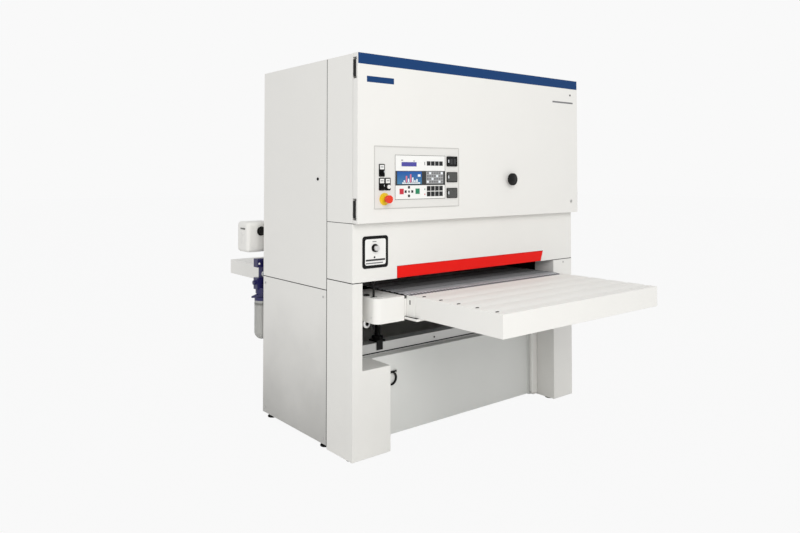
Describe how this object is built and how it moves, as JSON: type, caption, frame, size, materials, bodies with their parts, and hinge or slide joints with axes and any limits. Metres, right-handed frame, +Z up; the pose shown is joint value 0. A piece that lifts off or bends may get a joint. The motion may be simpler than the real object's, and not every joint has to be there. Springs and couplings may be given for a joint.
{
  "type": "wide-belt sander",
  "caption": "Wide-belt sanding machine with a rising feed conveyor, two sanding units, hinged doors, control panel and dust outlets.",
  "frame": {"origin": "floor level, under the middle of the whole machine's outline", "axes": "+X to the operator's right, +Y along the feed from infeed to outfeed, +Z up"},
  "size_m": [1.779, 2.575, 2.06],
  "materials": {
    "front_paint": "fine orange-peel powder coat, off-white",
    "side_paint": "fine powder coat, off-white",
    "lower_side_paint": "fine powder coat, light grey",
    "table_paint": "satin powder coat",
    "blue_trim": "satin paint, deep blue",
    "red_paint": "gloss paint, red",
    "frame_paint": "matt dark grey",
    "machined_steel": "turned or ground",
    "bright_zinc": "zinc plated",
    "galvanised": "galvanised sheet",
    "black_plastic": "fine matt grain",
    "black_rubber": "matt",
    "belt_rubber": "dimpled grey cover",
    "abrasive_cloth": "coated abrasive",
    "panel_paint": "fine powder coat",
    "keypad_film": "printed film",
    "meter_glass": "gloss",
    "estop_yellow": "satin",
    "estop_red": "gloss",
    "white_plastic": "gloss",
    "navy_plastic": "satin",
    "bowl_plastic": "smoky translucent",
    "motor_paint": "satin"
  },
  "bodies": {
    "frame": {"side_frames": "frame_paint", "cross_beams": "bright_zinc", "left_front_leg": "front_paint", "right_front_leg": "front_paint", "left_lower_panel": "lower_side_paint", "right_side_panel": "side_paint", "left_front_pillar": "front_paint", "right_front_pillar": "front_paint", "fascia": "front_paint", "rear_lower_panel": "side_paint", "rear_upper_panel": "side_paint", "top_cover": "front_paint", "recessed_panel": "lower_side_paint", "levelling_feet": "black_rubber", "fascia_plate": "black_plastic", "dust_hood": "galvanised", "main_motor": "motor_paint", "air_unit": "navy_plastic", "air_bowl": "bowl_plastic", "rear_box": "front_paint", "unit_frames": "frame_paint", "height_stop_rod": "black_plastic", "lift_nuts": "frame_paint", "abrasive_belts": "abrasive_cloth", "drive_belts": "black_rubber", "cover_screws": "bright_zinc"},
    "front_door": {"front_door": "front_paint", "control_bezel": "panel_paint", "keypad_plate": "keypad_film", "panel_meters": "meter_glass", "legend_plates": "black_plastic", "estop_collar": "estop_yellow"},
    "conveyor": {"conveyor_bed": "frame_paint", "feed_belt": "belt_rubber", "infeed_table": "table_paint", "outfeed_table": "table_paint", "left_end_cover": "table_paint", "lift_screws": "machined_steel", "feed_gearmotor": "motor_paint"},
    "estop_button": {"estop_button": "estop_red"},
    "push_button": {"push_button": "white_plastic"},
    "upper_selector": {"upper_selector": "black_plastic"},
    "lower_selector": {"lower_selector": "black_plastic"},
    "door_knob": {"door_knob": "black_plastic"},
    "door_lock": {"door_lock": "bright_zinc"},
    "left_side_door": {"left_side_door": "side_paint"},
    "side_door_lock": {"side_door_lock": "bright_zinc"},
    "fascia_switch": {"fascia_switch": "black_plastic"},
    "red_flap": {"red_flap": "red_paint"},
    "air_lever": {"air_lever": "navy_plastic"},
    "panel_handle": {"panel_handle": "black_plastic"},
    "rear_box_knob": {"rear_box_knob": "black_plastic"},
    "drive_roller": {"drive_roller": "machined_steel"},
    "idler_roller": {"idler_roller": "machined_steel"},
    "front_drum": {"front_drum": "black_rubber"},
    "rear_drum": {"rear_drum": "black_rubber"},
    "front_tension_roller": {"front_tension_roller": "machined_steel"},
    "rear_tension_roller": {"rear_tension_roller": "machined_steel"},
    "pressure_roller": {"pressure_roller": "black_rubber"},
    "motor_pulley": {"motor_pulley": "machined_steel"}
  },
  "joints": [
    {"name": "front_door_hinge", "type": "hinge", "parent": "frame", "child": "front_door", "pos_m": [-0.8285, -0.6035, 1.581], "axis": [0, 0, -1], "range_deg": [0, 90]},
    {"name": "side_door_hinge", "type": "hinge", "parent": "frame", "child": "left_side_door", "pos_m": [-0.8285, 0.3225, 1.4], "axis": [0, 0, -1], "range_deg": [0, 90]},
    {"name": "conveyor_lift", "type": "slide", "parent": "frame", "child": "conveyor", "axis": [0, 0, 1], "range_m": [-0.095, 0.07]},
    {"name": "flap_hinge", "type": "hinge", "parent": "frame", "child": "red_flap", "pos_m": [0.0125, -0.5585, 0.944], "axis": [1, 0, 0], "range_deg": [0, 20]},
    {"name": "estop_press", "type": "slide", "parent": "front_door", "child": "estop_button", "axis": [0, 1, 0], "range_m": [0, 0.006]},
    {"name": "push_button_press", "type": "slide", "parent": "front_door", "child": "push_button", "axis": [0, 1, 0], "range_m": [0, 0.004], "stiffness_N_per_m": 500},
    {"name": "upper_selector_turn", "type": "hinge", "parent": "front_door", "child": "upper_selector", "pos_m": [-0.6915, -0.6155, 1.41], "axis": [0, -1, 0], "range_deg": [-45, 45]},
    {"name": "lower_selector_turn", "type": "hinge", "parent": "front_door", "child": "lower_selector", "pos_m": [-0.6915, -0.6155, 1.341], "axis": [0, -1, 0], "range_deg": [-45, 45]},
    {"name": "door_knob_turn", "type": "hinge", "parent": "front_door", "child": "door_knob", "pos_m": [0.25026, -0.6205, 1.375], "axis": [0, -1, 0], "range_deg": [0, 90]},
    {"name": "door_lock_turn", "type": "hinge", "parent": "front_door", "child": "door_lock", "pos_m": [0.8215, -0.6145, 1.234], "axis": [0, -1, 0], "range_deg": [0, 90]},
    {"name": "side_door_lock_turn", "type": "hinge", "parent": "left_side_door", "child": "side_door_lock", "pos_m": [-0.8385, -0.2565, 1.379], "axis": [-1, 0, 0], "range_deg": [0, 90]},
    {"name": "fascia_switch_turn", "type": "hinge", "parent": "frame", "child": "fascia_switch", "pos_m": [-0.7035, -0.5765, 1.036], "axis": [0, -1, 0], "range_deg": [-45, 45]},
    {"name": "rear_box_knob_turn", "type": "hinge", "parent": "frame", "child": "rear_box_knob", "pos_m": [-0.7975, 0.4345, 1.061], "axis": [0, -1, 0], "range_deg": [0, 90]},
    {"name": "air_lever_turn", "type": "hinge", "parent": "frame", "child": "air_lever", "pos_m": [-0.8075, 0.4045, 0.684], "axis": [0, 0, -1], "range_deg": [0, 90]},
    {"name": "panel_handle_lift", "type": "hinge", "parent": "frame", "child": "panel_handle", "pos_m": [-0.4705, -0.4118, 0.346], "axis": [-1, 0, 0], "range_deg": [0, 90]},
    {"name": "drive_roller_spin", "type": "hinge", "parent": "conveyor", "child": "drive_roller", "pos_m": [0.0675, 0.3052, 0.7407], "axis": [1, 0, 0], "continuous": true},
    {"name": "idler_roller_spin", "type": "hinge", "parent": "conveyor", "child": "idler_roller", "pos_m": [0.0675, -0.6082, 0.7407], "axis": [1, 0, 0], "continuous": true},
    {"name": "front_drum_spin", "type": "hinge", "parent": "frame", "child": "front_drum", "pos_m": [0.0675, -0.2042, 0.9603], "axis": [1, 0, 0], "continuous": true},
    {"name": "rear_drum_spin", "type": "hinge", "parent": "frame", "child": "rear_drum", "pos_m": [0.0675, 0.1262, 0.9603], "axis": [1, 0, 0], "continuous": true},
    {"name": "front_tension_roller_spin", "type": "hinge", "parent": "frame", "child": "front_tension_roller", "pos_m": [0.0675, -0.2042, 1.6503], "axis": [1, 0, 0], "continuous": true},
    {"name": "rear_tension_roller_spin", "type": "hinge", "parent": "frame", "child": "rear_tension_roller", "pos_m": [0.0675, 0.1262, 1.6503], "axis": [1, 0, 0], "continuous": true},
    {"name": "pressure_roller_spin", "type": "hinge", "parent": "frame", "child": "pressure_roller", "pos_m": [0.0675, -0.3242, 0.888], "axis": [1, 0, 0], "continuous": true},
    {"name": "motor_pulley_spin", "type": "hinge", "parent": "frame", "child": "motor_pulley", "pos_m": [0.6825, -0.039, 1.7947], "axis": [1, 0, 0], "continuous": true}
  ],
  "couplings": [
    {"joint": "idler_roller_spin", "follows": "drive_roller_spin", "ratio": 1},
    {"joint": "rear_tension_roller_spin", "follows": "front_tension_roller_spin", "ratio": 1},
    {"joint": "front_drum_spin", "follows": "front_tension_roller_spin", "ratio": 0.66667},
    {"joint": "rear_drum_spin", "follows": "front_tension_roller_spin", "ratio": 0.66667},
    {"joint": "motor_pulley_spin", "follows": "front_tension_roller_spin", "ratio": 0.55556}
  ]
}
